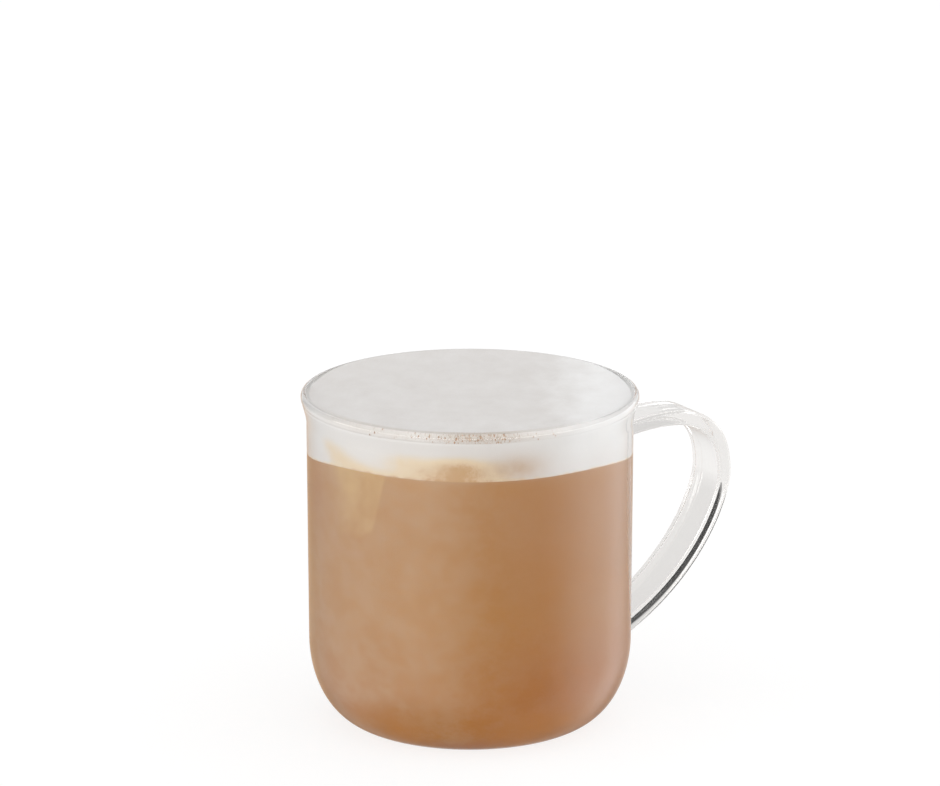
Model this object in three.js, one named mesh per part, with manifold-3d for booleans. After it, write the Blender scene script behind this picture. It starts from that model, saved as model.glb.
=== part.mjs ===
// A latte in a clear glass mug: brown milk coffee under a cap of white milk foam that fills the mug to
// its lip. Millimetres, +Z up. The origin is the middle of the flat base, and the handle points along +X.
import * as THREE from "three";
import { mergeVertices } from "three/addons/utils/BufferGeometryUtils.js";
import Module from "manifold-3d";

// Glass body
const MUG_HEIGHT = 88.2;
const WALL_TOP_RADIUS = 42.5; // outside of the wall, just under the flared lip
const WALL_FOOT_RADIUS = 42.25; // outside of the wall where the round heel begins
const BASE_RADIUS = 27.9; // the flat that the mug stands on
const HEEL_HEIGHT = 22.2;
const WALL_THICKNESS = 1.8;
const FLOOR_THICKNESS = 3.2;
const INNER_BASE_RADIUS = 26.4; // the flat part of the floor inside

// Wall that flares out and then turns up into a lip with a fire-polished bead
const LIP_RADIUS = 43.93;
const LIP_BEAD_RADIUS = 1.22;
const LIP_HEIGHT = 2.35; // from the rim down to where the flare turns up
const LIP_FOOT_RADIUS = 43.75; // outside of the wall there
const FLARE_HEIGHT = 7.7; // from the rim down to where the flare begins
const FLARE_POWER = 1.37;

// Handle: a flat glass strap with rounded corners, bent in the XZ plane and fused to the wall at both ends
const STRAP_WIDTH = 13.7;
const STRAP_THICKNESS = 4.05;
const STRAP_CORNER = 0.95; // radius of the four long corners
const STRAP_TOP = new THREE.Vector3(40, 0, 72.1);
const STRAP_TOP_PULL = new THREE.Vector3(62.7, 0, 77.2);
const STRAP_BEND_PULL = new THREE.Vector3(74.77, 0, 73.4);
const STRAP_OUTERMOST = new THREE.Vector3(74.77, 0, 57.1);
const STRAP_LOWER_PULL = new THREE.Vector3(74.77, 0, 50.6);
const STRAP_FOOT_PULL = new THREE.Vector3(66.5, 0, 28.6);
const STRAP_FOOT = new THREE.Vector3(39, 0, 15.9);
const FUSE_DEPTH = 0.9; // how far the strap's ends reach into the wall

// Drink
const FOAM_LINE = 75.3; // height where the coffee meets the foam
const FOAM_DIP = 3.2; // how much lower that line runs at the two ends of one diameter
const FOAM_DIP_BEARING = -Math.PI / 6;
const FOAM_DIP_POWER = 8; // how narrow the dip is round the mug
const FOAM_DIP_FADE = 4; // how fast it fades towards the axis
const FOAM_TOP = 88.0; // crown of the foam, level with the lip
const FOAM_EDGE_DROP = 0.9; // the foam's rounded edge below its crown
const FOAM_EDGE_WIDTH = 2.2;
const CLEARANCE = 0.3; // between the glass, the coffee and the foam

// Fineness of the solids
const SEGMENTS = 64;
const HEEL_STEPS = 9;
const FLARE_STEPS = 6;
const BEAD_STEPS = 6;
const STRAP_STEPS = 34;
const STRAP_CORNER_STEPS = 2; // half the steps round one corner
const FACE_RINGS = [1, 0.8, 0.5, 0]; // rings of the face at the foam line, as shares of its radius
const CROWN_RINGS = [0, 0.3, 0.65, 1]; // rings of the foam's rounded edge, as shares of its turn
const MERGE_DISTANCE = 1e-3; // points closer than this are one point

const FLARE_START = MUG_HEIGHT - FLARE_HEIGHT;
const LIP_FOOT = MUG_HEIGHT - LIP_HEIGHT;
const BEAD_HEIGHT = MUG_HEIGHT - LIP_BEAD_RADIUS;
const BEAD_RING_RADIUS = LIP_RADIUS - LIP_BEAD_RADIUS;

const wasm = await Module();
wasm.setup();

function steps(count) {
  return Array.from({ length: count + 1 }, (_, i) => i / count);
}

// Radius of a wall that drafts from its foot to the flare and then swings out to an end.
function wallRadius(height, foot, top, end) {
  if (height <= FLARE_START) {
    const t = (height - HEEL_HEIGHT) / (FLARE_START - HEEL_HEIGHT);
    return THREE.MathUtils.lerp(foot, top, t);
  }
  const t = (height - FLARE_START) / (end.y - FLARE_START);
  return top + (end.x - top) * Math.pow(t, FLARE_POWER);
}

function outerRadius(height) {
  if (height > LIP_FOOT) {
    const t = (BEAD_HEIGHT - height) / (BEAD_HEIGHT - LIP_FOOT);
    return LIP_RADIUS - (LIP_RADIUS - LIP_FOOT_RADIUS) * t * t;
  }
  const end = new THREE.Vector2(LIP_FOOT_RADIUS, LIP_FOOT);
  return wallRadius(height, WALL_FOOT_RADIUS, WALL_TOP_RADIUS, end);
}

function innerRadius(height) {
  const foot = WALL_FOOT_RADIUS - WALL_THICKNESS;
  const top = WALL_TOP_RADIUS - WALL_THICKNESS;
  const end = new THREE.Vector2(LIP_RADIUS - 2 * LIP_BEAD_RADIUS, BEAD_HEIGHT);
  return wallRadius(Math.min(height, BEAD_HEIGHT), foot, top, end);
}

// Quarter of an ellipse from the edge of a flat floor up into the wall.
function heel(flatRadius, floorHeight, footRadius) {
  return steps(HEEL_STEPS).map((t) => {
    const turn = (t * Math.PI) / 2;
    const radius = flatRadius + (footRadius - flatRadius) * Math.sin(turn);
    const height = HEEL_HEIGHT - (HEEL_HEIGHT - floorHeight) * Math.cos(turn);
    return new THREE.Vector2(radius, height);
  });
}

function flareHeights() {
  return steps(FLARE_STEPS).map((t) => FLARE_START + t * (BEAD_HEIGHT - FLARE_START));
}

function outerOutline() {
  const wall = flareHeights().map((height) => new THREE.Vector2(outerRadius(height), height));
  return [new THREE.Vector2(0, 0), ...heel(BASE_RADIUS, 0, WALL_FOOT_RADIUS), ...wall];
}

// Outline of the mug's inside, drawn in from the glass by an inset and ending at a height in the wall.
function innerOutline(inset, endHeight) {
  const floor = FLOOR_THICKNESS + inset;
  const foot = innerRadius(HEEL_HEIGHT) - inset;
  const levels = flareHeights().filter((height) => height < endHeight - CLEARANCE);
  const wall = [...levels, endHeight].map(
    (height) => new THREE.Vector2(innerRadius(height) - inset, height),
  );
  return [new THREE.Vector2(0, floor), ...heel(INNER_BASE_RADIUS, floor, foot), ...wall];
}

function bead() {
  return steps(BEAD_STEPS).map((t) => {
    const turn = t * Math.PI;
    return new THREE.Vector2(
      BEAD_RING_RADIUS + LIP_BEAD_RADIUS * Math.cos(turn),
      BEAD_HEIGHT + LIP_BEAD_RADIUS * Math.sin(turn),
    );
  });
}

function lathe(outline) {
  return new THREE.LatheGeometry(outline, SEGMENTS).rotateX(Math.PI / 2);
}

function toSolid(geometry) {
  geometry.deleteAttribute("normal");
  geometry.deleteAttribute("uv");
  const merged = mergeVertices(geometry, MERGE_DISTANCE);
  return new wasm.Manifold(
    new wasm.Mesh({
      numProp: 3,
      vertProperties: merged.attributes.position.array,
      triVerts: new Uint32Array(merged.index.array),
    }),
  );
}

function toGeometry(solid) {
  const mesh = solid.getMesh();
  const geometry = new THREE.BufferGeometry();
  geometry.setAttribute("position", new THREE.BufferAttribute(mesh.vertProperties, 3));
  geometry.setIndex(new THREE.BufferAttribute(mesh.triVerts, 1));
  geometry.computeVertexNormals();
  return geometry;
}

function strapSection() {
  const x = STRAP_WIDTH / 2 - STRAP_CORNER;
  const y = STRAP_THICKNESS / 2 - STRAP_CORNER;
  const section = new THREE.Shape();
  section.absarc(x, -y, STRAP_CORNER, -Math.PI / 2, 0);
  section.absarc(x, y, STRAP_CORNER, 0, Math.PI / 2);
  section.absarc(-x, y, STRAP_CORNER, Math.PI / 2, Math.PI);
  section.absarc(-x, -y, STRAP_CORNER, Math.PI, (3 * Math.PI) / 2);
  return section;
}

function strapGeometry() {
  const path = new THREE.CurvePath();
  path.add(
    new THREE.CubicBezierCurve3(STRAP_TOP, STRAP_TOP_PULL, STRAP_BEND_PULL, STRAP_OUTERMOST),
  );
  path.add(
    new THREE.CubicBezierCurve3(STRAP_OUTERMOST, STRAP_LOWER_PULL, STRAP_FOOT_PULL, STRAP_FOOT),
  );
  return new THREE.ExtrudeGeometry(strapSection(), {
    steps: STRAP_STEPS,
    curveSegments: STRAP_CORNER_STEPS,
    bevelEnabled: false,
    extrudePath: path,
  });
}

// The glass: one lathed cup, and the strap cut off inside the wall and fused to it.
function mugGeometry() {
  const inside = innerOutline(0, BEAD_HEIGHT).slice(0, -1).reverse();
  const cup = toSolid(lathe([...outerOutline(), ...bead().slice(1), ...inside]));
  const cutOutline = innerOutline(FUSE_DEPTH - WALL_THICKNESS, BEAD_HEIGHT);
  const cut = toSolid(lathe([...cutOutline, new THREE.Vector2(0, BEAD_HEIGHT)]));
  return toGeometry(cup.add(toSolid(strapGeometry()).subtract(cut)));
}

// Bends the level face between coffee and foam down towards the two ends of one diameter.
function bendFoamLine(geometry) {
  const position = geometry.attributes.position;
  for (let i = 0; i < position.count; i += 1) {
    const x = position.getX(i);
    const y = position.getY(i);
    const z = position.getZ(i);
    if (Math.abs(z - FOAM_LINE) > CLEARANCE) continue;
    const side = Math.abs(Math.cos(Math.atan2(y, x) - FOAM_DIP_BEARING));
    const reach = Math.hypot(x, y) / innerRadius(FOAM_LINE);
    position.setZ(i, z - FOAM_DIP * Math.pow(side, FOAM_DIP_POWER) * Math.pow(reach, FOAM_DIP_FADE));
  }
  return geometry;
}

// Points of the flat face at the foam line, from its rim to the axis.
function foamLineFace(height) {
  const rim = innerRadius(FOAM_LINE) - CLEARANCE;
  return FACE_RINGS.map((share) => new THREE.Vector2(rim * share, height));
}

function coffeeGeometry() {
  const level = FOAM_LINE - CLEARANCE / 2;
  const outline = [...innerOutline(CLEARANCE, level).slice(0, -1), ...foamLineFace(level)];
  return bendFoamLine(lathe(outline));
}

function foamGeometry() {
  const edge = FOAM_TOP - FOAM_EDGE_DROP;
  const edgeRadius = innerRadius(edge) - CLEARANCE;
  const wall = flareHeights()
    .filter((height) => height < edge)
    .map((height) => new THREE.Vector2(innerRadius(height) - CLEARANCE, height));
  const crown = CROWN_RINGS.map((t) => {
    const turn = (t * Math.PI) / 2;
    return new THREE.Vector2(
      edgeRadius - FOAM_EDGE_WIDTH * (1 - Math.cos(turn)),
      edge + FOAM_EDGE_DROP * Math.sin(turn),
    );
  });
  const underside = foamLineFace(FOAM_LINE + CLEARANCE / 2).reverse();
  return bendFoamLine(lathe([...underside, ...wall, ...crown, new THREE.Vector2(0, FOAM_TOP)]));
}

const glass = new THREE.MeshStandardMaterial({
  color: 0xf1f4f3,
  roughness: 0.03,
  metalness: 0,
  transparent: true,
  opacity: 0.35,
});
const coffee = new THREE.MeshStandardMaterial({ color: 0xa97b57, roughness: 0.4, metalness: 0 });
const foam = new THREE.MeshStandardMaterial({ color: 0xe6e2de, roughness: 0.75, metalness: 0 });

const latte = new THREE.Group();
latte.name = "latte";

function addPart(name, geometry, material) {
  const mesh = new THREE.Mesh(geometry, material);
  mesh.name = name;
  latte.add(mesh);
}

addPart("mug", mugGeometry(), glass);
addPart("coffee", coffeeGeometry(), coffee);
addPart("foam", foamGeometry(), foam);

export default latte;
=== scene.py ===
"""A latte in a clear glass mug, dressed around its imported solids.

The mug is one mesh of clear glass. The coffee and the foam are opaque pieces that reach just into the
glass wall, so that no air gap shows, and specks of coffee grounds sit where the foam meets the lip.
"""

import math

import bmesh
import bpy
import numpy as np
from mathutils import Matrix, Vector, noise


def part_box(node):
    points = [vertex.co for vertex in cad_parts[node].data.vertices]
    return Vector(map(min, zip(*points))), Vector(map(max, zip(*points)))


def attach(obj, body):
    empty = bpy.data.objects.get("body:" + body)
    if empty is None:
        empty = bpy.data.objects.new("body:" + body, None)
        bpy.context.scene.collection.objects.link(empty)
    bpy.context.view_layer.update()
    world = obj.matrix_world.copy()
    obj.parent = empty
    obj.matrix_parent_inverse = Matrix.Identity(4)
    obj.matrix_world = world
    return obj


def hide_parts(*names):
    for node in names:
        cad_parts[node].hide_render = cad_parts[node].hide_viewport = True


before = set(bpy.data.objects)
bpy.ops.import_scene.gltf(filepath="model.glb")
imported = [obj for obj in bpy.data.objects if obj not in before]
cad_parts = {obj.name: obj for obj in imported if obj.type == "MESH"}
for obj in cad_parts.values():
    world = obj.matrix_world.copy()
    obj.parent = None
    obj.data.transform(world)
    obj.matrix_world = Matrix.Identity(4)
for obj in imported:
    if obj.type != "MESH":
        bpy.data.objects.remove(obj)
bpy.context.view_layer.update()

MM = 0.001

# Glass body, as the solids have it
MUG_LOW, MUG_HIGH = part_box("mug")
MUG_HEIGHT = MUG_HIGH.z
LIP_RADIUS = -MUG_LOW.x
WALL_TOP_RADIUS = 42.5 * MM  # outside of the wall, just under the flare
WALL_FOOT_RADIUS = 42.25 * MM  # outside of the wall where the round heel begins
BASE_RADIUS = 27.9 * MM
HEEL_HEIGHT = 22.2 * MM
WALL_THICKNESS = 1.8 * MM
FLOOR_THICKNESS = 3.2 * MM
INNER_BASE_RADIUS = 26.4 * MM
LIP_BEAD_RADIUS = 1.22 * MM
LIP_FOOT = MUG_HEIGHT - 2.35 * MM  # where the flare turns up, with a fine groove round it
LIP_FOOT_RADIUS = 43.75 * MM
LIP_GROOVE_DEPTH = 0.10 * MM
LIP_GROOVE_WIDTH = 0.32 * MM
FLARE_START = MUG_HEIGHT - 7.7 * MM
FLARE_POWER = 1.37
BEAD_HEIGHT = MUG_HEIGHT - LIP_BEAD_RADIUS
BEAD_RING_RADIUS = LIP_RADIUS - LIP_BEAD_RADIUS

# Handle: points and pulls of its centre line in the XZ plane
STRAP_WIDTH = 13.7 * MM
STRAP_THICKNESS = 4.05 * MM
STRAP_CORNER = 0.95 * MM
STRAP_UPPER = np.array([(40, 72.1), (62.7, 77.2), (74.77, 73.4), (74.77, 57.1)]) * MM
STRAP_LOWER = np.array([(74.77, 57.1), (74.77, 50.6), (66.5, 28.6), (39, 15.9)]) * MM
STRAP_FILLET = 1.8 * MM
FUSE_DEPTH = 0.9 * MM

# Drink
FOAM_LINE = 75.3 * MM
FOAM_DIP = 3.2 * MM
FOAM_DIP_BEARING = math.radians(-30)
FOAM_DIP_POWER = 8
FOAM_DIP_FADE = 4
FOAM_DIP_REACH = 18 * MM  # how far above and below the line the drink follows its dip
FOAM_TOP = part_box("foam")[1].z
FOAM_CREST = 0.50  # how far round the lip's bead the foam reaches, in half turns from outside
EMBED = 0.25 * MM  # how far the coffee reaches into the glass
FOAM_EMBED = 0.20 * MM
BEAD_EMBED = 0.12 * MM
EMBED_POWER = 3  # how late the foam goes from one depth to the other
FOAM_LAP = 0.6 * MM  # how far the foam's side runs down behind the coffee
FOAM_ROLL = np.array([(0, 0.10), (-0.06, 0.15), (-0.2, 0.17), (-0.5, 0.165)]) * MM  # edge above the bead
FOAM_EDGE_POWER = 8
RELIEF = [(15 * MM, 0.10 * MM), (5 * MM, 0.04 * MM), (1.6 * MM, 0.015 * MM)]  # size and depth of each layer
RELIEF_SHIFT = 40 * MM
RELIEF_EDGE = 3 * MM  # over these widths the relief fades out at the lip and at the axis
RELIEF_MIDDLE = 4 * MM
FOAM_TOP_MARGIN = 0.02 * MM

# Specks of coffee grounds on the foam's skin, at the lip's front
SPECKS = 800
SPECK_LOW = 85.7 * MM
SPECK_SIZES = (0.02 * MM, 0.2 * MM)
SPECK_SIZE_POWER = 4  # most specks are near the smallest size
SPECK_STRETCH = (0.8, 1.6)
SPECK_FLATNESS = 0.6
SPECK_UNEVENNESS = 0.18
SPECK_FRONT = (4, 8)  # bearing of most specks from the photograph's front in degrees, and its spread
SPECK_FRONT_SHARE = 0.7
SPECK_REACH = (-45, 35)  # bearings of the others
SPECK_SEED = 11

# Camera: it stands on the photograph's side and has the mug low in its picture
PHOTO_AZIMUTH = math.radians(-30)
PHOTO_ELEVATION = math.radians(16.85)
CAMERA_DISTANCE = 1.3302
CAMERA_LENS = 194.7
TARGET = Vector((0, 0, 45 * MM))
CAMERA_CLIP = (0.05, 50)
PICTURE_MIDDLE_ABOVE_TARGET = 41.05 * MM

# Fineness of the meshes
SEGMENTS = 256
FOAM_SEGMENTS = 288
HEEL_STEPS = 40
WALL_STEPS = 23
OUTER_FLARE_STEPS = 56
INNER_FLARE_STEPS = 24
BEAD_STEPS = 24
STRAP_STATIONS = 200
STRAP_CURVE_POINTS = 400
STRAP_CORNER_STEPS, STRAP_FACE_STEPS, STRAP_EDGE_STEPS = 14, 12, 3
COFFEE_TOP_RINGS = 14 * MM, 0.05 * MM, 40  # depth of the first and the last under the foam line, and count
LID_STEPS = 11
FOAM_WALL_RINGS = 40
FOAM_FLARE_STEPS = 29
CREST_STEPS = 13
FOAM_TOP_STEPS = 119
FOAM_UNDER_STEPS = 7

GLASS_BOUNCES = 32  # light turns many times inside the lip and the handle

# Light, as radiance with white at 1
SKY = 0.82
LEFT_BOX = 2.2
RIGHT_BOX = 2.0
CAMERA_SIDE = 0.1
DARK_ROOM = 0.05
BACKDROP_LEFT = 0.70
BACKDROP_RIGHT = 0.72
WARM_LEFT = (1, 0.74, 0.54, 1)
WARM_RIGHT = (1, 0.84, 0.74, 1)
NADIR = 0.25
STRIP_LEFT = 4.6
STRIP_RIGHT = 3.7
FLOOR_GLOW = 0.80
FLOOR_REACH = 6.0

# Where the light stands: degrees of bearing from the photograph's front, and of height. An edge is a pair
# that goes from none to full. Three numbers are a low end, a high end and how soft both are.
LEFT_BOX_EDGES = (25, -42), (-152, -76)
RIGHT_BOX_EDGES = (46, 98), (156, 118)
CAMERA_SIDE_EDGES = (-42, 25), (98, 46)
RING_HEIGHT_EDGES = (4, -8), (-62, -25)
STRIP_EDGES = (-150, -100), (165, 130)
STRIP_BLEND = (-30, 60)  # from the left one's strength to the right one's
STRIP_HEIGHTS = (0, 14, 3)
SKY_RISE = (-20, 2)
ROOM_BEARINGS = (-152, -104, 5)
ROOM_HEIGHT_EDGES = (-16, 6), (49, 39)
WARM_HEIGHTS = (4, -6)
DIM_HEIGHTS, DIM_SHARE = (-19, -32), 0.6  # the warm part loses this share below

# The same, as parts of a direction of length 1 to the photograph's right or away from its camera
BACKDROP_BLEND = (-0.25, 0.25)
WARM_AWAY = (0.6, 0.95)
WARM_BLEND = (-0.1, 0.1)
WARM_GAP = (0, 0.02)  # square of the part to the right, so that it counts on both sides

# Colours, as linear RGB
WHITE = (1, 1, 1, 1)
FLOOR = (0.25, 0.25, 0.25, 1)
GLASS = (0.905, 0.897, 0.888, 1)
STRAP_GLASS = (0.845, 0.828, 0.810, 1)  # the thick strap takes more of the light
COFFEE = (0.534, 0.231, 0.044, 1)
# painted shade: darker, redder coffee towards the bottom
COFFEE_LOW_SHADE = (0.485, 0.158, 0.004, 1)
# painted shade: a dark line along the foot of the coffee
COFFEE_FOOT_SHADE = (0.46, 0.145, 0.03, 1)  # at the front of the heel
# painted light: brighter coffee at the heel's sides
COFFEE_HEEL_LIGHT = (0.60, 0.25, 0.05, 1)
COFFEE_MILKY = (0.57, 0.335, 0.185, 1)
# painted light: the paler, golden tone of the coffee's lit left side
COFFEE_LEFT_LIGHT = (0.60, 0.36, 0.09, 1)
DRIP = (0.67, 0.435, 0.165, 1)
FOAM_TOP_LEFT = (0.752, 0.722, 0.698, 1)
# painted light: the paler, sheen-like tone of the foam top's right part
FOAM_TOP_LIT_RIGHT = (0.950, 0.945, 0.940, 1)
FOAM_SIDE = (0.912, 0.897, 0.880, 1)
# painted light: the paler tone of the foam's lit right and left sides
FOAM_SIDE_LIT = (0.955, 0.955, 0.950, 1)
CREMA = (0.93, 0.785, 0.57, 1)
CREMA_DEEP = (0.70, 0.45, 0.225, 1)
CREMA_GREY = (0.71, 0.55, 0.41, 1)
GROUNDS = (0.50, 0.40, 0.30, 1)
FOAM_LIP = (0.970, 0.962, 0.950, 1)  # pale, because foam looks darker inside the bead's glass
SPECK = (0.50, 0.30, 0.17, 1)
SPECK_PALE = (0.70, 0.54, 0.41, 1)

# Noises: size of their features, detail and roughness
COFFEE_CLOUD = 9 * MM, 6, 0.62
COFFEE_WISP = 4 * MM, 4, 0.6
COFFEE_GRAIN = 0.6 * MM, 2
FOAM_CLOUD = 12 * MM, 4, 0.6
FOAM_WISP = 3 * MM, 4, 0.6
FOAM_GRAIN = 0.4 * MM, 2
FOAM_STREAK = 8 * MM, 6, 0.62
GROUNDS_GRAIN = 0.3 * MM, 2
SPECK_TONE = 1.2 * MM, 2
GLASS_WAVE = 14 * MM, 1
CLOUD_STRETCH = (1, 1, 1.3)
CLOUD_CONTRAST = (0.33, 0.67)
STREAK_STRETCH = (1, 0.6, 1)
WISP_SHIFT, GROUNDS_SHIFT = 0.3, 0.7

GLASS_IOR = 1.47
GLASS_WAVE_DEPTH = 0.004 * MM
STRAP_TINT_RADII = (44.4, 48)  # the glass takes on the strap's tint between these, in mm
COFFEE_ROUGHNESS = 0.45
FOAM_ROUGHNESS, FOAM_ROUGHNESS_WISP = 0.66, 0.2
FOAM_PIT_DEPTH, FOAM_PIT_GRAIN = 0.05 * MM, 0.5
SPECK_ROUGHNESS = 0.6
SPECK_TONE_CONTRAST = (0.35, 0.65)

# Tones of the coffee: bearings in degrees and heights in mm, in pairs and threes as for the light
# painted light: the coffee's left side, which is painted paler and golden
LIT_LEFT_EDGES = (32, -20), (-175, -110)
CALM_BEARINGS = (4, 110, 22)  # where few clouds show
FRONT_BEARINGS = (-20, 14, 12)
# painted shade: the coffee darkens towards the bottom, less so on its painted-lit left
LOW_SHADE_HEIGHTS, LOW_SHADE_LEFT_LOSS = (40, 16), 0.4
# painted shade: heights of the dark line at the front of the foot
FOOT_SHADE_HEIGHTS = (6, 3.2)
# painted light: share of the paler golden tone on the left, less near the foot
LEFT_LIGHT_SHARE, LEFT_LIGHT_LOW_HEIGHTS, LEFT_LIGHT_LOW_LOSS = 0.28, (24, 8), 0.16
# painted light: where and how much the heel's sides are brightened
HEEL_LIGHT_BEARINGS, HEEL_LIGHT_HEIGHTS, HEEL_LIGHT_SHARE = (-58, 75, 8), (15, 8), 0.5
# painted shade: a darker strip of plain coffee along the left outline
SHADED_FLANK_BEARINGS, SHADED_FLANK_SHARE = (-100, -64, 8), 0.6  # the left flank is plain coffee near its top and foot
SHADED_FLANK_HIGH, SHADED_FLANK_LOW = (44, 66), (24, 12)

# Share of milk in the coffee: a base value, and what adds to it or takes from it
MILK_BASE = 0.3
MILK_HEIGHTS, MILK_HIGH = (40, 68), 0.25
NEAR_LINE, MILK_NEAR_LINE = (-2.5, 0), 0.11
AT_LINE, MILK_AT_LINE = (-0.7, 0.1), 0.35
MILK_CLOUD, MILK_CLOUD_CALM = 0.55, 0.45
MILK_CALM_LOSS = 0.04
MILK_GRAIN = 0.15

# Pale drip under the crema: its edges' bearings at its top, and how they lean in degrees for each mm down
DRIP_TOP = 74.5
DRIP_RIGHT, DRIP_RIGHT_LEAN = (-30.6, -32.0), -0.40
DRIP_LEFT, DRIP_LEFT_LEAN = (-62, -48), 0.35
DRIP_FOOT, DRIP_FOOT_LEAN = (62.8, 65.0), 0.12  # height of its foot, which leans in mm for each degree
DRIP_WAVER, DRIP_FOOT_WAVER = 3, 4
DRIP_SHARE, DRIP_CLOUD, DRIP_WISP = 0.68, 0.5, 1.4

# Tones of the foam's top and of its side
TOP_PALE = 0.16
# painted light: how far right, in mm, the foam's top turns paler, and how much
TOP_LIT_RIGHT, TOP_LIT_RIGHT_WAVER, TOP_LIGHT_RIGHT = (15, 36), 10, 0.80  # in mm to the photograph's right
TOP_STREAK, TOP_GRAIN = 0.8, 0.3
# painted light: bearings where the foam's side is paler, on its right and on its left
SIDE_LIT_RIGHT_BEARINGS, SIDE_LIT_RIGHT_WAVER = (33, 140, 11), 16
SIDE_LIT_LEFT_BEARINGS, SIDE_LIT_LEFT_SHARE = (-150, -63, 8), 0.6
SIDE_CLOUD, SIDE_WISP = 0.4, 0.2
LIP_HEIGHTS = (86.4, 87.0)

# Crema on the foam's side: bearing and height of a spot, its size and its strength
STAINS = [
    ((-60, 79.6), (6, 2.4), 0.17),
    ((-54, 78.0), (8, 3.0), 0.28),
    ((-45, 76.4), (10, 2.2), 0.26),
    ((-30, 75.2), (26, 1.6), 0.30),
    ((-24, 80.4), (9, 2.2), 0.16),
    ((-18, 77.6), (13, 3.0), 0.50),
    ((-4, 78.5), (10, 3.2), 0.60),
    ((-3, 78.2), (7, 2.0), 0.30),
    ((-4, 75.6), (10, 1.4), 0.32),
    ((9, 77.2), (8, 3.2), 0.40),
]
GREY_STAIN, GREY_SHARE = ((16.5, 78.5), (9.5, 3.3)), 0.85
STAIN_WAVER = 3, 3  # by clouds and by wisps, in degrees
STAIN_HEIGHT_WAVER = 0.8, 0.9  # the same, in mm
CREMA_WISP = 0.04
CREMA_LINE, CREMA_LINE_SHARE = (0.9, -0.1), 0.30
CREMA_MOTTLE = 0.6, 0.4  # by wisps and by grain
CREMA_RANGE, CREMA_DEEP_RANGE = (0.03, 0.5), (0.42, 1.08)

# Wash of fine grounds in the lip
WASH_BEARINGS, WASH_SHARE = (-55, 30, 20), 0.34
WASH_FRONT_BEARINGS, WASH_FRONT_SHARE = (-9, 15, 8), 0.42
WASH_HEIGHTS, WASH_RADII = (85.4, 86.6), (40.4, 41.2)
WASH_BASE, WASH_GRAIN, WASH_GRAIN_RANGE = 0.6, 0.8, (0.5, 0.72)


def link(obj):
    bpy.context.scene.collection.objects.link(obj)
    return obj


def mesh_object(name, points, faces):
    mesh = bpy.data.meshes.new(name)
    mesh.from_pydata(np.asarray(points).tolist(), [], faces)
    mesh.polygons.foreach_set("use_smooth", np.ones(len(mesh.polygons), bool))
    mesh.update()
    return link(bpy.data.objects.new(name, mesh))


def lathe(name, outline, segments=SEGMENTS, warp=None):
    """A closed solid of revolution. The outline starts and ends on the axis, as (radius, height)."""
    outline = np.asarray(outline, float)
    angle = np.arange(segments) * 2 * math.pi / segments
    rings = outline[1:-1]
    radius, height = rings[:, :1], rings[:, 1:]
    x, y = radius * np.cos(angle), radius * np.sin(angle)
    z = np.repeat(height, segments, 1)
    poles = [(0, 0, outline[0, 1]), (0, 0, outline[-1, 1])]
    points = np.vstack([np.stack([x, y, z], -1).reshape(-1, 3), poles])
    if warp is not None:
        points = warp(points)
    start, end = len(points) - 2, len(points) - 1
    ahead = np.roll(np.arange(segments), -1)
    faces = []
    for ring in range(len(rings) - 1):
        low, high = ring * segments, (ring + 1) * segments
        faces += [(low + a, low + b, high + b, high + a) for a, b in enumerate(ahead)]
    last = (len(rings) - 1) * segments
    faces += [(start, b, a) for a, b in enumerate(ahead.tolist())]
    faces += [(end, last + a, last + b) for a, b in enumerate(ahead.tolist())]
    faces = [tuple(int(i) for i in face) for face in faces]
    return mesh_object(name, points, faces)


def wall_radius(height, foot, top, end):
    """Radius of a wall that drafts from its foot to the flare and then swings out to an end."""
    draft = foot + (top - foot) * (height - HEEL_HEIGHT) / (FLARE_START - HEEL_HEIGHT)
    out = np.clip((height - FLARE_START) / (end[1] - FLARE_START), 0, 1)
    return np.where(height <= FLARE_START, draft, top + (end[0] - top) * out**FLARE_POWER)


def heel_turn(height, floor):
    return np.arccos(np.clip((HEEL_HEIGHT - height) / (HEEL_HEIGHT - floor), 0, 1))


def outer_radius(height):
    height = np.asarray(height, float)
    foot = BASE_RADIUS + (WALL_FOOT_RADIUS - BASE_RADIUS) * np.sin(heel_turn(height, 0))
    wall = wall_radius(height, WALL_FOOT_RADIUS, WALL_TOP_RADIUS, (LIP_FOOT_RADIUS, LIP_FOOT))
    below = np.clip((BEAD_HEIGHT - height) / (BEAD_HEIGHT - LIP_FOOT), 0, 1)
    lip = LIP_RADIUS - (LIP_RADIUS - LIP_FOOT_RADIUS) * below**2
    groove = LIP_GROOVE_DEPTH * np.exp(-(((height - LIP_FOOT) / LIP_GROOVE_WIDTH) ** 2))
    return np.where(height < HEEL_HEIGHT, foot, np.where(height > LIP_FOOT, lip, wall) - groove)


def inner_radius(height):
    foot, top = WALL_FOOT_RADIUS - WALL_THICKNESS, WALL_TOP_RADIUS - WALL_THICKNESS
    end = LIP_RADIUS - 2 * LIP_BEAD_RADIUS, BEAD_HEIGHT
    return wall_radius(np.asarray(height, float), foot, top, end)


def heel(flat_radius, floor, foot_radius):
    turn = np.linspace(0, math.pi / 2, HEEL_STEPS + 1)
    radius = flat_radius + (foot_radius - flat_radius) * np.sin(turn)
    height = HEEL_HEIGHT - (HEEL_HEIGHT - floor) * np.cos(turn)
    return np.c_[radius, height]


def wall_levels(flare_steps):
    return np.r_[
        np.linspace(HEEL_HEIGHT, FLARE_START, WALL_STEPS + 1)[1:],
        np.linspace(FLARE_START, BEAD_HEIGHT, flare_steps + 1)[1:],
    ]


def outer_outline():
    levels = wall_levels(OUTER_FLARE_STEPS)
    wall = np.c_[outer_radius(levels), levels]
    return np.vstack([[(0, 0)], heel(BASE_RADIUS, 0, WALL_FOOT_RADIUS), wall])


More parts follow.
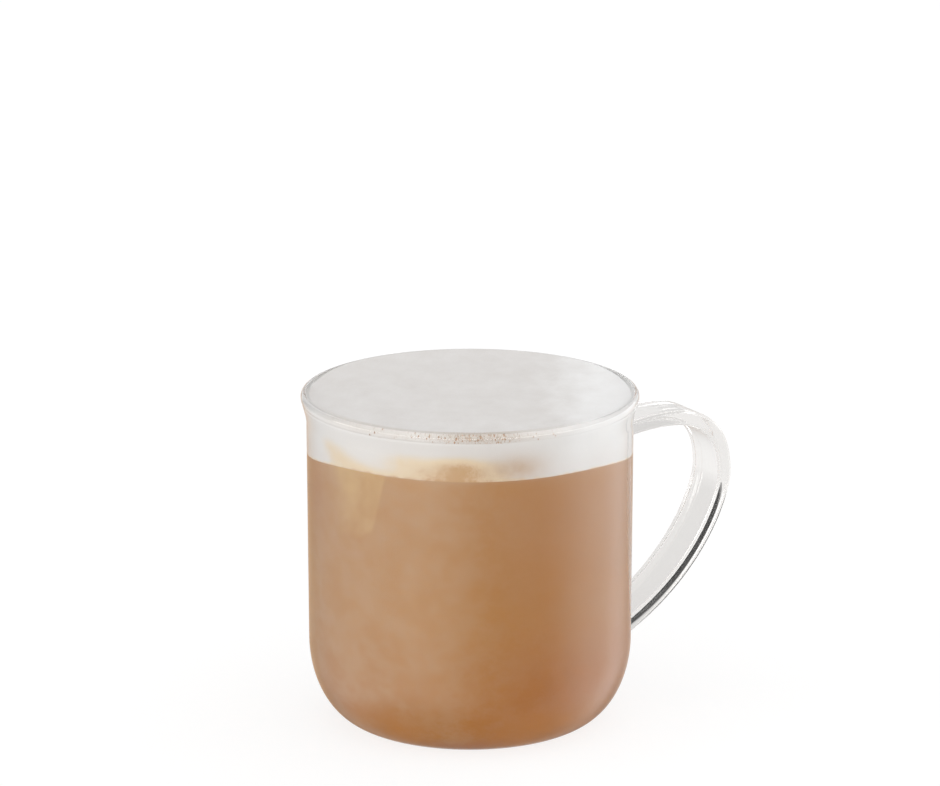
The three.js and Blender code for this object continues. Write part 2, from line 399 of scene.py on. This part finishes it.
def inner_outline(inset):
    """Outline of the mug's inside from the axis to the bead, drawn in from the glass by an inset."""
    levels = wall_levels(INNER_FLARE_STEPS)
    floor = FLOOR_THICKNESS + inset
    foot = WALL_FOOT_RADIUS - WALL_THICKNESS - inset
    wall = np.c_[inner_radius(levels) - inset, levels]
    return np.vstack([[(0, floor)], heel(INNER_BASE_RADIUS, floor, foot), wall])


def bead():
    turn = np.linspace(0, math.pi, BEAD_STEPS + 1)
    radius = BEAD_RING_RADIUS + LIP_BEAD_RADIUS * np.cos(turn)
    return np.c_[radius, BEAD_HEIGHT + LIP_BEAD_RADIUS * np.sin(turn)]


def bezier(points):
    t = np.linspace(0, 1, STRAP_CURVE_POINTS)[:, None]
    a, b, c, d = points
    return (1 - t) ** 3 * a + 3 * (1 - t) ** 2 * t * b + 3 * (1 - t) * t**2 * c + t**3 * d


def evenly(line, count):
    """The line's points, spaced evenly along it."""
    run = np.r_[0, np.cumsum(np.linalg.norm(np.diff(line, axis=0), axis=1))]
    at = np.linspace(0, run[-1], count)
    return np.c_[np.interp(at, run, line[:, 0]), np.interp(at, run, line[:, 1])]


def strap_section():
    """Points round the strap's section, across its width and its thickness, and their outward normals."""
    x, y = STRAP_WIDTH / 2 - STRAP_CORNER, STRAP_THICKNESS / 2 - STRAP_CORNER
    corners = np.array([(x, -y), (x, y), (-x, y), (-x, -y)])
    points, normals = [], []
    for corner, middle in enumerate(corners):
        turn = np.radians(np.linspace(-90, 0, STRAP_CORNER_STEPS + 1) + 90 * corner)
        out = np.c_[np.cos(turn), np.sin(turn)]
        count = STRAP_FACE_STEPS if corner % 2 else STRAP_EDGE_STEPS
        share = np.linspace(0, 1, count + 2)[1:-1, None]
        flat = middle + (corners[(corner + 1) % 4] - middle) * share
        points += [middle + out * STRAP_CORNER, flat + out[-1] * STRAP_CORNER]
        normals += [out, np.tile(out[-1], (count, 1))]
    return np.vstack(points), np.vstack(normals)


def strap(name):
    """The bent strap, thickened round where it meets the wall, with its ends inside the mug."""
    line = np.vstack([bezier(STRAP_UPPER), bezier(STRAP_LOWER)[1:]])
    line = evenly(line, STRAP_STATIONS)
    along = np.gradient(line, axis=0)
    along /= np.linalg.norm(along, axis=1)[:, None]
    out = np.c_[-along[:, 1], along[:, 0]]
    section, normal = strap_section()
    count = len(section)

    def placed(offsets):
        x = line[:, :1] + out[:, :1] * offsets[..., 1]
        z = line[:, 1:] + out[:, 1:] * offsets[..., 1]
        return np.stack([x, np.broadcast_to(offsets[..., 0], x.shape), z], -1)

    points = placed(section[None])
    gap = np.hypot(points[..., 0], points[..., 1]) - outer_radius(points[..., 2])
    near = np.clip(1 - gap / STRAP_FILLET, 0, 1)
    swell = STRAP_FILLET * (1 - np.sqrt(1 - near**2))
    points = placed(section[None] + normal[None] * swell[..., None]).reshape(-1, 3)
    points[:, 0] = np.minimum(points[:, 0], MUG_HIGH.x)
    ahead = np.roll(np.arange(count), -1).tolist()
    faces = []
    for station in range(STRAP_STATIONS - 1):
        low, high = station * count, (station + 1) * count
        faces += [(low + a, low + b, high + b, high + a) for a, b in enumerate(ahead)]
    faces.append(tuple(range(count))[::-1])
    faces.append(tuple(range((STRAP_STATIONS - 1) * count, STRAP_STATIONS * count)))
    return mesh_object(name, points, faces)


def combine(target, other, operation):
    """Cuts another solid from the target, or joins it to the target. The other solid is used up."""
    modifier = target.modifiers.new(operation, "BOOLEAN")
    modifier.operation = operation
    modifier.solver = "MANIFOLD"
    modifier.object = other
    graph = bpy.context.evaluated_depsgraph_get()
    mesh = bpy.data.meshes.new_from_object(target.evaluated_get(graph))
    target.modifiers.clear()
    target.data = mesh
    mesh.materials.clear()
    mesh.polygons.foreach_set("use_smooth", np.ones(len(mesh.polygons), bool))
    bpy.data.objects.remove(other)
    return target


def make_mug():
    inside = inner_outline(0)[:-1][::-1]
    cup = lathe("glass_mug", np.vstack([outer_outline(), bead()[1:], inside]))
    cut_outline = np.vstack([inner_outline(FUSE_DEPTH - WALL_THICKNESS), [(0, BEAD_HEIGHT)]])
    handle = combine(strap("strap"), lathe("cut", cut_outline), "DIFFERENCE")
    return combine(cup, handle, "UNION")


def line_drop(x, y):
    """How far the foam line runs below its usual height on this bearing."""
    side = np.abs(np.cos(np.arctan2(y, x) - FOAM_DIP_BEARING))
    return FOAM_DIP * side**FOAM_DIP_POWER


def follow_line(points):
    """Bends a lathed piece of the drink so that its foam line dips as the real one does."""
    x, y, z = points.T
    near = np.clip(1 - np.abs(z - FOAM_LINE) / FOAM_DIP_REACH, 0, 1)
    out = np.clip(np.hypot(x, y) / inner_radius(FOAM_LINE), 0, 1) ** FOAM_DIP_FADE
    share = near * near * (3 - 2 * near) * out
    return np.c_[x, y, z - line_drop(x, y) * share]


def store(obj, name, values):
    attribute = obj.data.attributes.new(name, "FLOAT", "POINT")
    attribute.data.foreach_set("value", np.asarray(values, np.float32))


def points_of(obj):
    found = np.empty(len(obj.data.vertices) * 3, np.float32)
    obj.data.vertices.foreach_get("co", found)
    return found.reshape(-1, 3).astype(float)


def above_line(points):
    """Height of each point above the foam line on its bearing."""
    x, y, z = points.T
    return z - (FOAM_LINE - line_drop(x, y))


def make_coffee():
    outline = inner_outline(-EMBED)
    fine = FOAM_LINE - np.geomspace(*COFFEE_TOP_RINGS)
    low = outline[outline[:, 1] < fine[0]]
    top = np.r_[fine, FOAM_LINE]
    wall = np.c_[inner_radius(top) + EMBED, top]
    lid = np.c_[np.linspace(wall[-1, 0], 0, LID_STEPS + 1)[1:], np.full(LID_STEPS, FOAM_LINE)]
    coffee = lathe("coffee_body", np.vstack([low, wall, lid]), warp=follow_line)
    store(coffee, "above_line", above_line(points_of(coffee)))
    return coffee


def relief(x, y):
    """Low swells and fine pits of the foam's top."""
    return sum(
        noise.noise(Vector((x, y, layer * RELIEF_SHIFT)) / size) * depth
        for layer, (size, depth) in enumerate(RELIEF)
    )


def foam_skin():
    """Outline of the foam against the glass, from below the foam line up the wall and round the bead."""
    levels = np.linspace(FOAM_LINE - FOAM_LAP, FLARE_START, FOAM_WALL_RINGS)
    levels = np.r_[levels, np.linspace(FLARE_START, BEAD_HEIGHT, FOAM_FLARE_STEPS + 1)[1:]]
    flare = np.clip((levels - FLARE_START) / (BEAD_HEIGHT - FLARE_START), 0, 1)
    embed = FOAM_EMBED + (BEAD_EMBED - FOAM_EMBED) * flare**EMBED_POWER
    wall = np.c_[inner_radius(levels) + embed, levels]
    turn = np.linspace(math.pi, math.pi * FOAM_CREST, CREST_STEPS + 1)[1:]
    hug = LIP_BEAD_RADIUS - BEAD_EMBED
    crest = np.c_[BEAD_RING_RADIUS + hug * np.cos(turn), BEAD_HEIGHT + hug * np.sin(turn)]
    return np.vstack([wall, crest])


def make_foam():
    skin = foam_skin()
    lip = skin[-1, 0]
    rise = FOAM_ROLL + skin[-1]
    radius = np.linspace(rise[-1, 0], 0, FOAM_TOP_STEPS + 1)[1:]
    crown = (rise[-1, 1] - FOAM_TOP) * np.clip(radius / lip, 0, 1) ** FOAM_EDGE_POWER
    top = np.c_[radius, FOAM_TOP + crown]
    under = np.linspace(0, skin[0, 0], FOAM_UNDER_STEPS + 1)[:-1]
    under = np.c_[under, np.full(FOAM_UNDER_STEPS, skin[0, 1])]
    outline = np.vstack([under, skin, rise, top])
    foam = lathe("foam_cap", outline, FOAM_SEGMENTS, warp=follow_line)
    in_air = np.arange(len(outline)) >= len(under) + len(skin)
    store(foam, "in_air", np.r_[np.repeat(in_air[1:-1], FOAM_SEGMENTS), in_air[[0, -1]]])
    points = points_of(foam)
    for i in np.flatnonzero(points[:, 2] > FOAM_TOP - FOAM_TOP_MARGIN):
        x, y = points[i, :2]
        out = math.hypot(x, y)
        fade = min(1, max(0, (lip - out) / RELIEF_EDGE)) * min(1, out / RELIEF_MIDDLE)
        points[i, 2] += relief(x, y) * fade
    points[:, 2] = np.minimum(points[:, 2], MUG_HEIGHT)
    foam.data.vertices.foreach_set("co", points.astype(np.float32).ravel())
    foam.data.update()
    store(foam, "above_line", above_line(points))
    return foam


def pebble():
    """Points and faces of a ball of radius 1."""
    ball = bmesh.new()
    bmesh.ops.create_icosphere(ball, subdivisions=1, radius=1)
    points = np.array([point.co for point in ball.verts])
    faces = np.array([[point.index for point in face.verts] for face in ball.faces])
    ball.free()
    return points, faces


def make_specks():
    """Coffee grounds between foam and glass: flat uneven pebbles along the front of the lip."""
    draw = np.random.default_rng(SPECK_SEED)
    skin = foam_skin()
    skin = skin[skin[:, 1] > SPECK_LOW]
    run = np.r_[0, np.cumsum(np.linalg.norm(np.diff(skin, axis=0), axis=1))]
    along = np.gradient(skin, axis=0)
    along /= np.linalg.norm(along, axis=1)[:, None]
    ball, ball_faces = pebble()
    points, faces = [], []
    for speck in range(SPECKS):
        near = draw.random() < SPECK_FRONT_SHARE
        bearing = draw.normal(*SPECK_FRONT) if near else draw.uniform(*SPECK_REACH)
        turn = math.radians(bearing - 90) + PHOTO_AZIMUTH
        at = draw.uniform(0, run[-1])
        radius, height, lean, climb = (np.interp(at, run, v) for v in (*skin.T, *along.T))
        outward = np.array([math.cos(turn), math.sin(turn), 0])
        around = np.array([-math.sin(turn), math.cos(turn), 0])
        upward = outward * lean + np.array([0, 0, climb])
        axes = np.array([around, upward, np.cross(around, upward)])
        size = np.interp(draw.random() ** SPECK_SIZE_POWER, (0, 1), SPECK_SIZES)
        size = size * np.array([draw.uniform(*SPECK_STRETCH), 1, SPECK_FLATNESS])
        uneven = ball * (1 + SPECK_UNEVENNESS * draw.standard_normal((len(ball), 1)))
        faces += (ball_faces + len(ball) * speck).tolist()
        points.append(outward * radius + np.array([0, 0, height]) + uneven * size @ axes)
    return mesh_object("coffee_specks", np.vstack(points), faces)


class Field:
    """A number or colour that varies over a surface: a node's output, with arithmetic."""

    def __init__(self, net, socket):
        self.net, self.socket = net, socket

    def __add__(self, other):
        return self.net.math("ADD", self, other)

    def __sub__(self, other):
        return self.net.math("SUBTRACT", self, other)

    def __rsub__(self, other):
        return self.net.math("SUBTRACT", other, self)

    def __mul__(self, other):
        return self.net.math("MULTIPLY", self, other)

    def __truediv__(self, other):
        return self.net.math("DIVIDE", self, other)

    __radd__, __rmul__ = __add__, __mul__


class Net:
    """Builds a node tree from formulas: each call adds a node and gives its output as a Field."""

    def __init__(self, tree):
        self.tree = tree

    def feed(self, socket, value):
        if isinstance(value, Field):
            self.tree.links.new(value.socket, socket)
        else:
            socket.default_value = value

    def node(self, kind, inputs, output=0, **settings):
        made = self.tree.nodes.new("ShaderNode" + kind)
        for name, value in settings.items():
            setattr(made, name, value)
        for key, value in inputs.items():
            self.feed(made.inputs[key], value)
        return Field(self, made.outputs[output])

    def math(self, operation, *values):
        return self.node("Math", dict(enumerate(values)), operation=operation)

    def vector_math(self, operation, *values):
        return self.node("VectorMath", dict(enumerate(values)), operation=operation)

    def smooth(self, value, low, high):
        """0 where the value is at low, 1 where it is at high, and a smooth step between."""
        limits = {"Value": value, "From Min": low, "From Max": high}
        return self.node("MapRange", limits, interpolation_type="SMOOTHSTEP")

    def within(self, value, low, high, soft):
        """1 where the value lies between low and high, with soft edges."""
        return self.smooth(value, low - soft, low + soft) * self.smooth(value, high + soft, high - soft)

    def span(self, value, first, second):
        """1 where the value is past both edges, each of which goes from none to full."""
        return self.smooth(value, *first) * self.smooth(value, *second)

    def mix(self, share, a, b):
        return self.node("Mix", {0: share, 6: a, 7: b}, 2, data_type="RGBA")

    def noise(self, vector, size, detail=2.0, roughness=0.5):
        """Cloudy noise from 0 to 1 whose features are about this many metres across."""
        inputs = {"Vector": vector, "Scale": 1 / size, "Detail": detail, "Roughness": roughness}
        return self.node("TexNoise", inputs)

    def scaled(self, vector, factors):
        return self.vector_math("MULTIPLY", vector, factors)

    def shifted(self, vector, by):
        return self.vector_math("ADD", vector, (by, by, by))

    def blob(self, x, y, middle, size):
        """A soft spot at a middle, 1 at its heart and fading over its size."""
        across, along = (x - middle[0]) / size[0], (y - middle[1]) / size[1]
        return self.math("EXPONENT", 0 - (across * across + along * along))

    def bump(self, height, depth):
        """A normal for relief of this depth in metres, from a height of 0 to 1."""
        return self.node("Bump", {"Height": height, "Distance": depth, "Strength": 1.0})

    def photo_space(self, vector):
        """Turns a vector so that x runs to the photograph's right and y away from its camera."""
        inputs = {"Vector": vector, "Angle": -PHOTO_AZIMUTH}
        return self.node("VectorRotate", inputs, rotation_type="Z_AXIS")

    def bearing(self, right, away):
        """Degrees from the photograph's front, growing to its right."""
        return self.math("DEGREES", self.math("ARCTAN2", right, 0 - away))

    def attribute(self, name):
        return self.node("Attribute", {}, "Fac", attribute_name=name)

    def split(self, vector):
        made = self.tree.nodes.new("ShaderNodeSeparateXYZ")
        self.feed(made.inputs[0], vector)
        return [Field(self, output) for output in made.outputs]


def simple_material(name, colour, roughness):
    """A material of one colour, and the inputs of its shader."""
    material = bpy.data.materials.new(name)
    material.use_nodes = True
    inputs = material.node_tree.nodes["Principled BSDF"].inputs
    inputs["Base Color"].default_value = colour
    inputs["Roughness"].default_value = roughness
    return material, inputs


def wall_place(net):
    """Position on the part, bearing from the photograph's front in degrees, height and radius in mm."""
    place = net.node("TexCoord", {}, "Object")
    right, away, up = net.split(net.photo_space(place))
    radius = net.math("SQRT", right * right + away * away)
    return place, net.bearing(right, away), up / MM, radius / MM


def glass_material():
    material, inputs = simple_material("clear_glass", GLASS, 0)
    net = Net(material.node_tree)
    place, _, _, radius = wall_place(net)
    net.feed(inputs["Base Color"], net.mix(net.smooth(radius, *STRAP_TINT_RADII), GLASS, STRAP_GLASS))
    inputs["Transmission Weight"].default_value = 1
    inputs["IOR"].default_value = GLASS_IOR
    net.feed(inputs["Normal"], net.bump(net.noise(place, *GLASS_WAVE), GLASS_WAVE_DEPTH))
    return material


def coffee_material():
    """Milk coffee, milky above, cloudy and with a pale drip. Painted shade darkens it towards the bottom,
    at the front of its foot and along its left outline; painted light makes its left side paler and golden
    and its heel's sides brighter.
    """
    material, inputs = simple_material("latte", COFFEE, COFFEE_ROUGHNESS)
    net = Net(material.node_tree)
    place, bearing, height, _ = wall_place(net)
    above = net.attribute("above_line") / MM
    cloud = net.noise(net.scaled(place, CLOUD_STRETCH), *COFFEE_CLOUD)
    cloud = net.smooth(cloud, *CLOUD_CONTRAST) - 0.5
    wisp = net.noise(net.shifted(place, WISP_SHIFT), *COFFEE_WISP) - 0.5
    grain = net.noise(place, *COFFEE_GRAIN) - 0.5
    # painted light: the left side, where the coffee is painted paler and golden
    left = net.span(bearing, *LIT_LEFT_EDGES)
    calm = net.within(bearing, *CALM_BEARINGS)
    front = net.within(bearing, *FRONT_BEARINGS)
    milk = (
        MILK_BASE
        + net.smooth(height, *MILK_HEIGHTS) * MILK_HIGH
        + net.smooth(above, *NEAR_LINE) * MILK_NEAR_LINE
        + net.smooth(above, *AT_LINE) * (MILK_AT_LINE + wisp)
        + cloud * (MILK_CLOUD - calm * MILK_CLOUD_CALM)
        - calm * MILK_CALM_LOSS
        + grain * MILK_GRAIN
    )
    # painted shade: darker towards the bottom, less so on the left
    low_shade = net.smooth(height, *LOW_SHADE_HEIGHTS) * (1 - left * LOW_SHADE_LEFT_LOSS)
    colour = net.mix(low_shade, COFFEE, COFFEE_LOW_SHADE)
    # painted shade: a dark band at the front of the heel's foot
    colour = net.mix(net.smooth(height, *FOOT_SHADE_HEIGHTS) * front, colour, COFFEE_FOOT_SHADE)
    colour = net.mix(milk, colour, COFFEE_MILKY)
    # painted light: the left side is paler and golden, less so near the foot
    left_light = LEFT_LIGHT_SHARE - net.smooth(height, *LEFT_LIGHT_LOW_HEIGHTS) * LEFT_LIGHT_LOW_LOSS
    colour = net.mix(left * left_light, colour, COFFEE_LEFT_LIGHT)
    # painted light: the heel is brighter at its sides, away from the front
    heel_light = net.smooth(height, *HEEL_LIGHT_HEIGHTS) * net.within(bearing, *HEEL_LIGHT_BEARINGS) * (1 - front)
    colour = net.mix(heel_light * HEEL_LIGHT_SHARE, colour, COFFEE_HEEL_LIGHT)
    # painted shade: along the left outline the coffee goes back to darker plain coffee near its top and
    # foot
    shaded_flank = net.smooth(height, *SHADED_FLANK_HIGH) + net.smooth(height, *SHADED_FLANK_LOW)
    colour = net.mix(net.within(bearing, *SHADED_FLANK_BEARINGS) * shaded_flank * SHADED_FLANK_SHARE, colour, COFFEE)
    down, across = DRIP_TOP - height, bearing + wisp * DRIP_WAVER
    drip = (
        net.smooth(across - down * DRIP_RIGHT_LEAN, *DRIP_RIGHT)
        * net.smooth(across - down * DRIP_LEFT_LEAN, *DRIP_LEFT)
        * net.smooth(height + wisp * DRIP_FOOT_WAVER - bearing * DRIP_FOOT_LEAN, *DRIP_FOOT)
        * (DRIP_SHARE + cloud * DRIP_CLOUD + wisp * DRIP_WISP)
    )
    net.feed(inputs["Base Color"], net.mix(drip, colour, DRIP))
    return material


def foam_top(net, place, grain):
    """Colour of the foam's top: grey white, with painted light that makes it paler to its right as the
    camera sees it, and soft streaks.
    """
    turned = net.photo_space(place)
    right = net.split(turned)[0] / MM
    streak = net.noise(net.scaled(turned, STREAK_STRETCH), *FOAM_STREAK) - 0.5
    # painted light: the top turns paler towards the right; streaks and grain add random tone
    lit_right = net.smooth(right + streak * TOP_LIT_RIGHT_WAVER, *TOP_LIT_RIGHT)
    pale = TOP_PALE + lit_right * TOP_LIGHT_RIGHT + streak * TOP_STREAK + grain * TOP_GRAIN
    return net.mix(pale, FOAM_TOP_LEFT, FOAM_TOP_LIT_RIGHT)


def foam_side(net, place, bearing, height, wisp, grain):
    """Colour of the foam behind the glass: white, with painted light that makes its right and left sides
    paler, and a stain of crema over the coffee's front.
    """
    above = net.attribute("above_line") / MM
    cloud = net.noise(place, *FOAM_CLOUD) - 0.5
    # painted light: the side is paler on its right and on its left; clouds and wisps add random tone
    pale = net.within(bearing + cloud * SIDE_LIT_RIGHT_WAVER, *SIDE_LIT_RIGHT_BEARINGS)
    pale = pale + cloud * SIDE_CLOUD + wisp * SIDE_WISP
    pale = pale + net.within(bearing, *SIDE_LIT_LEFT_BEARINGS) * SIDE_LIT_LEFT_SHARE
    side = net.mix(pale, FOAM_SIDE, FOAM_SIDE_LIT)
    x = bearing + cloud * STAIN_WAVER[0] + wisp * STAIN_WAVER[1]
    y = height + cloud * STAIN_HEIGHT_WAVER[0] + wisp * STAIN_HEIGHT_WAVER[1]
    crema = wisp * CREMA_WISP + net.smooth(above, *CREMA_LINE) * (CREMA_LINE_SHARE + wisp)
    for middle, size, strength in STAINS:
        crema = crema + net.blob(x, y, middle, size) * strength
    crema = crema * (1 + wisp * CREMA_MOTTLE[0] + grain * CREMA_MOTTLE[1])
    side = net.mix(net.smooth(crema, *CREMA_RANGE), side, CREMA)
    side = net.mix(net.smooth(crema, *CREMA_DEEP_RANGE), side, CREMA_DEEP)
    side = net.mix(net.blob(x, y, *GREY_STAIN) * (GREY_SHARE + wisp), side, CREMA_GREY)
    return net.mix(net.smooth(height, *LIP_HEIGHTS), side, FOAM_LIP)


def foam_material():
    material, inputs = simple_material("milk_foam", FOAM_SIDE, FOAM_ROUGHNESS)
    net = Net(material.node_tree)
    place, bearing, height, radius = wall_place(net)
    wisp = net.noise(net.shifted(place, WISP_SHIFT), *FOAM_WISP) - 0.5
    grain = net.noise(place, *FOAM_GRAIN) - 0.5
    side = foam_side(net, place, bearing, height, wisp, grain)
    colour = net.mix(net.attribute("in_air"), side, foam_top(net, place, grain))
    wash = net.within(bearing, *WASH_BEARINGS) * WASH_SHARE
    wash = wash + net.within(bearing, *WASH_FRONT_BEARINGS) * WASH_FRONT_SHARE
    fine = net.noise(net.shifted(place, GROUNDS_SHIFT), *GROUNDS_GRAIN)
    wash = wash * (WASH_BASE + net.smooth(fine, *WASH_GRAIN_RANGE) * WASH_GRAIN)
    wash = wash * net.smooth(height, *WASH_HEIGHTS) * net.smooth(radius, *WASH_RADII)
    net.feed(inputs["Base Color"], net.mix(wash, colour, GROUNDS))
    net.feed(inputs["Roughness"], FOAM_ROUGHNESS + wisp * FOAM_ROUGHNESS_WISP)
    net.feed(inputs["Normal"], net.bump(wisp + grain * FOAM_PIT_GRAIN, FOAM_PIT_DEPTH))
    return material


def speck_material():
    material, inputs = simple_material("coffee_grounds", SPECK, SPECK_ROUGHNESS)
    net = Net(material.node_tree)
    place = net.node("TexCoord", {}, "Object")
    tone = net.smooth(net.noise(place, *SPECK_TONE), *SPECK_TONE_CONTRAST)
    net.feed(inputs["Base Color"], net.mix(tone, SPECK, SPECK_PALE))
    return material


def make_floor():
    """A plain pale floor that glows a little, and that the glass doesn't mirror."""
    corners = [(x * FLOOR_REACH, y * FLOOR_REACH, 0) for x, y in ((-1, -1), (1, -1), (1, 1), (-1, 1))]
    floor = mesh_object("floor", corners, [(0, 1, 2, 3)])
    material, inputs = simple_material("floor_white", FLOOR, 1)
    inputs["Specular IOR Level"].default_value = 0
    inputs["Emission Color"].default_value = WHITE
    inputs["Emission Strength"].default_value = FLOOR_GLOW
    floor.data.materials.append(material)
    floor.visible_glossy = False


def make_camera():
    a, e = PHOTO_AZIMUTH, PHOTO_ELEVATION
    back = Vector((math.sin(a) * math.cos(e), -math.cos(a) * math.cos(e), math.sin(e)))
    up = Vector((-math.sin(a) * math.sin(e), math.cos(a) * math.sin(e), math.cos(e)))
    data = bpy.data.cameras.new("camera")
    data.lens = CAMERA_LENS
    data.clip_start, data.clip_end = CAMERA_CLIP
    camera = link(bpy.data.objects.new("camera", data))
    camera.location = TARGET + back * CAMERA_DISTANCE
    aim = TARGET + up * PICTURE_MIDDLE_ABOVE_TARGET - camera.location
    camera.rotation_mode = "QUATERNION"
    camera.rotation_quaternion = aim.to_track_quat("-Z", "Y")
    bpy.context.scene.camera = camera


def make_light():
    """Studio surroundings in the photograph's own directions.

    A ring of soft boxes and backdrop stands round the mug, dark on the camera's side. Above it run a bright
    strip and the sky. A dark room on the left, behind the mug, gives the handle its black edge, and the
    backdrop's foot is warm.
    """
    world = bpy.data.worlds.new("studio")
    bpy.context.scene.world = world
    world.use_nodes = True
    net = Net(world.node_tree)
    direction = net.node("TexCoord", {}, "Generated")
    right, away, up = net.split(net.photo_space(direction))
    bearing = net.bearing(right, away)
    height = net.math("DEGREES", net.math("ARCSINE", up))
    backdrop = BACKDROP_LEFT + net.smooth(right, *BACKDROP_BLEND) * (BACKDROP_RIGHT - BACKDROP_LEFT)
    ring = (
        backdrop
        + net.span(bearing, *LEFT_BOX_EDGES) * (LEFT_BOX - backdrop)
        + net.span(bearing, *RIGHT_BOX_EDGES) * (RIGHT_BOX - backdrop)
        + net.span(bearing, *CAMERA_SIDE_EDGES) * (CAMERA_SIDE - backdrop)
    )
    strip = STRIP_LEFT + net.smooth(bearing, *STRIP_BLEND) * (STRIP_RIGHT - STRIP_LEFT)
    strip_here = net.within(height, *STRIP_HEIGHTS) * net.span(bearing, *STRIP_EDGES)
    sky = SKY + strip_here * (strip - SKY)
    beyond = NADIR + net.smooth(height, *SKY_RISE) * (sky - NADIR)
    strength = beyond + net.span(height, *RING_HEIGHT_EDGES) * (ring - beyond)
    room = net.within(bearing, *ROOM_BEARINGS) * net.span(height, *ROOM_HEIGHT_EDGES)
    strength = strength + room * (DARK_ROOM - strength)
    low_back = net.smooth(away, *WARM_AWAY) * net.smooth(height, *WARM_HEIGHTS)
    low_back = low_back * net.smooth(right * right, *WARM_GAP)
    strength = strength * (1 - low_back * net.smooth(height, *DIM_HEIGHTS) * DIM_SHARE)
    warm = net.mix(net.smooth(right, *WARM_BLEND), WARM_LEFT, WARM_RIGHT)
    background = world.node_tree.nodes["Background"]
    net.feed(background.inputs["Color"], net.mix(low_back, WHITE, warm))
    net.feed(background.inputs["Strength"], strength)


def dress(piece, node, material):
    """Gives a piece its material and its slot, and has it stand for a node if one is named."""
    piece.data.materials.append(material)
    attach(piece, "root")
    if node:
        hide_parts(node)


make_camera()
make_light()
make_floor()
dress(make_mug(), "mug", glass_material())
dress(make_coffee(), "coffee", coffee_material())
dress(make_foam(), "foam", foam_material())
dress(make_specks(), None, speck_material())

bpy.context.scene.view_settings.view_transform = "Standard"
cycles = bpy.context.scene.cycles
cycles.max_bounces = cycles.glossy_bounces = cycles.transmission_bounces = GLASS_BOUNCES
